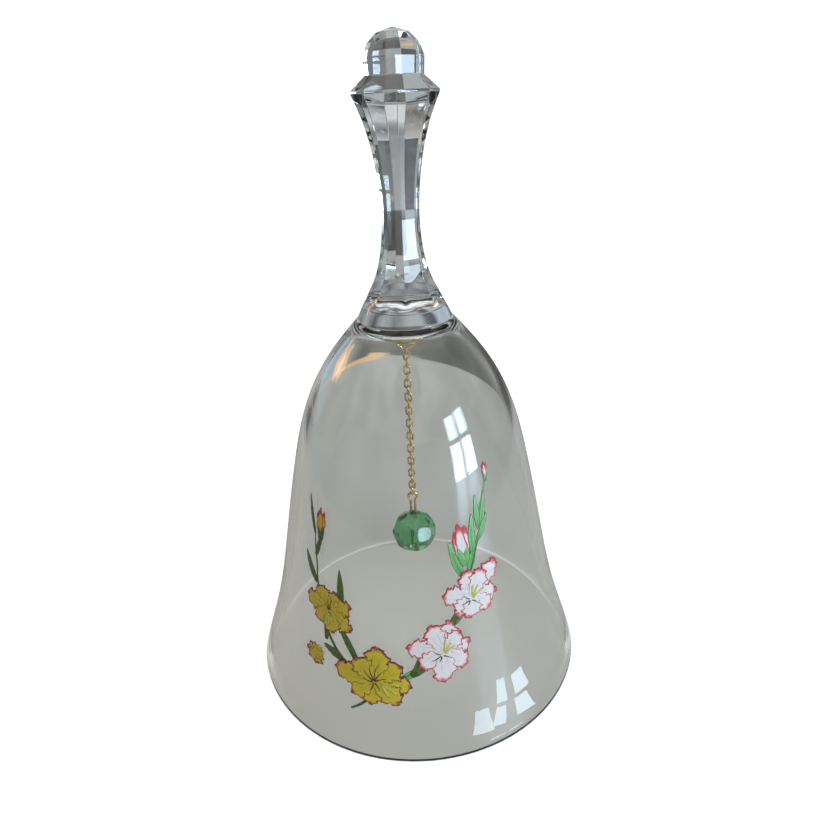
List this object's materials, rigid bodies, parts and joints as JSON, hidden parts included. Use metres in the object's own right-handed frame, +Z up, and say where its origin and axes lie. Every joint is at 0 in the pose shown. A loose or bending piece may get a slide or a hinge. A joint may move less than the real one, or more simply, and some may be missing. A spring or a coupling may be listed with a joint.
{
  "type": "glass hand bell",
  "caption": "Clear glass hand bell with a flared mouth, a faceted handle and knob, and a green faceted bead hung on a fine chain as its clapper.",
  "frame": {"origin": "middle of the mouth, on the plane the lip rests on", "axes": "+Z up the bell's axis to the knob; a corner of the eight-sided handle points along -Y, the front"},
  "size_m": [0.0916, 0.0915, 0.16],
  "materials": {
    "clear_glass": "thin clear blown glass, polished",
    "cut_glass": "clear pressed glass with flat facets, polished",
    "clear_bond": "clear adhesive film",
    "amber_bond": "clear adhesive, slightly yellow",
    "gilt_plate": "gilt brass disc",
    "gilt_wire": "gilt brass wire, bright",
    "gilt_chain": "gilt cable chain, slightly dulled",
    "green_glass": "transparent emerald green, cut and polished"
  },
  "bodies": {
    "bell": {"bell_cup": "clear_glass", "foot_bond": "clear_bond", "handle": "cut_glass", "eye_cement": "amber_bond", "eye_plate": "gilt_plate", "bail": "gilt_wire"},
    "link_01": {"link_01": "gilt_chain"},
    "link_02": {"link_02": "gilt_chain"},
    "link_03": {"link_03": "gilt_chain"},
    "link_04": {"link_04": "gilt_chain"},
    "link_05": {"link_05": "gilt_chain"},
    "link_06": {"link_06": "gilt_chain"},
    "link_07": {"link_07": "gilt_chain"},
    "link_08": {"link_08": "gilt_chain"},
    "link_09": {"link_09": "gilt_chain"},
    "link_10": {"link_10": "gilt_chain"},
    "link_11": {"link_11": "gilt_chain"},
    "link_12": {"link_12": "gilt_chain"},
    "link_13": {"link_13": "gilt_chain"},
    "link_14": {"link_14": "gilt_chain"},
    "link_15": {"link_15": "gilt_chain"},
    "link_16": {"link_16": "gilt_chain"},
    "link_17": {"link_17": "gilt_chain"},
    "link_18": {"link_18": "gilt_chain"},
    "link_19": {"link_19": "gilt_chain"},
    "link_20": {"link_20": "gilt_chain"},
    "link_21": {"link_21": "gilt_chain"},
    "link_22": {"link_22": "gilt_chain"},
    "link_23": {"link_23": "gilt_chain"},
    "clapper": {"split_pin": "gilt_wire", "bead": "green_glass"}
  },
  "joints": [
    {"name": "link_01_swing", "type": "hinge", "parent": "bell", "child": "link_01", "pos_m": [0, 0, 0.0912], "axis": [1, 0, 0], "range_deg": [-25.4, 25.4]},
    {"name": "link_02_swing", "type": "hinge", "parent": "link_01", "child": "link_02", "pos_m": [0, 0, 0.08939], "axis": [0, 1, 0], "range_deg": [-26.4, 26.4]},
    {"name": "link_03_swing", "type": "hinge", "parent": "link_02", "child": "link_03", "pos_m": [0, 0, 0.08753], "axis": [-1, 0, 0], "range_deg": [-27.4, 27.4]},
    {"name": "link_04_swing", "type": "hinge", "parent": "link_03", "child": "link_04", "pos_m": [0, 0, 0.08567], "axis": [0, -1, 0], "range_deg": [-28.6, 28.6]},
    {"name": "link_05_swing", "type": "hinge", "parent": "link_04", "child": "link_05", "pos_m": [0, 0, 0.08381], "axis": [1, 0, 0], "range_deg": [-29.8, 29.8]},
    {"name": "link_06_swing", "type": "hinge", "parent": "link_05", "child": "link_06", "pos_m": [0, 0, 0.08195], "axis": [0, 1, 0], "range_deg": [-31.1, 31.1]},
    {"name": "link_07_swing", "type": "hinge", "parent": "link_06", "child": "link_07", "pos_m": [0, 0, 0.08009], "axis": [-1, 0, 0], "range_deg": [-32.6, 32.6]},
    {"name": "link_08_swing", "type": "hinge", "parent": "link_07", "child": "link_08", "pos_m": [0, 0, 0.07823], "axis": [0, -1, 0], "range_deg": [-34.3, 34.3]},
    {"name": "link_09_swing", "type": "hinge", "parent": "link_08", "child": "link_09", "pos_m": [0, 0, 0.07637], "axis": [1, 0, 0], "range_deg": [-36.1, 36.1]},
    {"name": "link_10_swing", "type": "hinge", "parent": "link_09", "child": "link_10", "pos_m": [0, 0, 0.07451], "axis": [0, 1, 0], "range_deg": [-38.2, 38.2]},
    {"name": "link_11_swing", "type": "hinge", "parent": "link_10", "child": "link_11", "pos_m": [0, 0, 0.07265], "axis": [-1, 0, 0], "range_deg": [-40.5, 40.5]},
    {"name": "link_12_swing", "type": "hinge", "parent": "link_11", "child": "link_12", "pos_m": [0, 0, 0.07079], "axis": [0, -1, 0], "range_deg": [-43.3, 43.3]},
    {"name": "link_13_swing", "type": "hinge", "parent": "link_12", "child": "link_13", "pos_m": [0, 0, 0.06893], "axis": [1, 0, 0], "range_deg": [-45, 45]},
    {"name": "link_14_swing", "type": "hinge", "parent": "link_13", "child": "link_14", "pos_m": [0, 0, 0.06707], "axis": [0, 1, 0], "range_deg": [-45, 45]},
    {"name": "link_15_swing", "type": "hinge", "parent": "link_14", "child": "link_15", "pos_m": [0, 0, 0.06521], "axis": [-1, 0, 0], "range_deg": [-45, 45]},
    {"name": "link_16_swing", "type": "hinge", "parent": "link_15", "child": "link_16", "pos_m": [0, 0, 0.06335], "axis": [0, -1, 0], "range_deg": [-45, 45]},
    {"name": "link_17_swing", "type": "hinge", "parent": "link_16", "child": "link_17", "pos_m": [0, 0, 0.06149], "axis": [1, 0, 0], "range_deg": [-45, 45]},
    {"name": "link_18_swing", "type": "hinge", "parent": "link_17", "child": "link_18", "pos_m": [0, 0, 0.05963], "axis": [0, 1, 0], "range_deg": [-45, 45]},
    {"name": "link_19_swing", "type": "hinge", "parent": "link_18", "child": "link_19", "pos_m": [0, 0, 0.05777], "axis": [-1, 0, 0], "range_deg": [-45, 45]},
    {"name": "link_20_swing", "type": "hinge", "parent": "link_19", "child": "link_20", "pos_m": [0, 0, 0.05591], "axis": [0, -1, 0], "range_deg": [-45, 45]},
    {"name": "link_21_swing", "type": "hinge", "parent": "link_20", "child": "link_21", "pos_m": [0, 0, 0.05405], "axis": [1, 0, 0], "range_deg": [-45, 45]},
    {"name": "link_22_swing", "type": "hinge", "parent": "link_21", "child": "link_22", "pos_m": [0, 0, 0.05219], "axis": [0, 1, 0], "range_deg": [-45, 45]},
    {"name": "link_23_swing", "type": "hinge", "parent": "link_22", "child": "link_23", "pos_m": [0, 0, 0.05033], "axis": [-1, 0, 0], "range_deg": [-45, 45]},
    {"name": "clapper_swing", "type": "hinge", "parent": "link_23", "child": "clapper", "pos_m": [0, 0, 0.04847], "axis": [0, -1, 0], "range_deg": [-50, 50]}
  ]
}
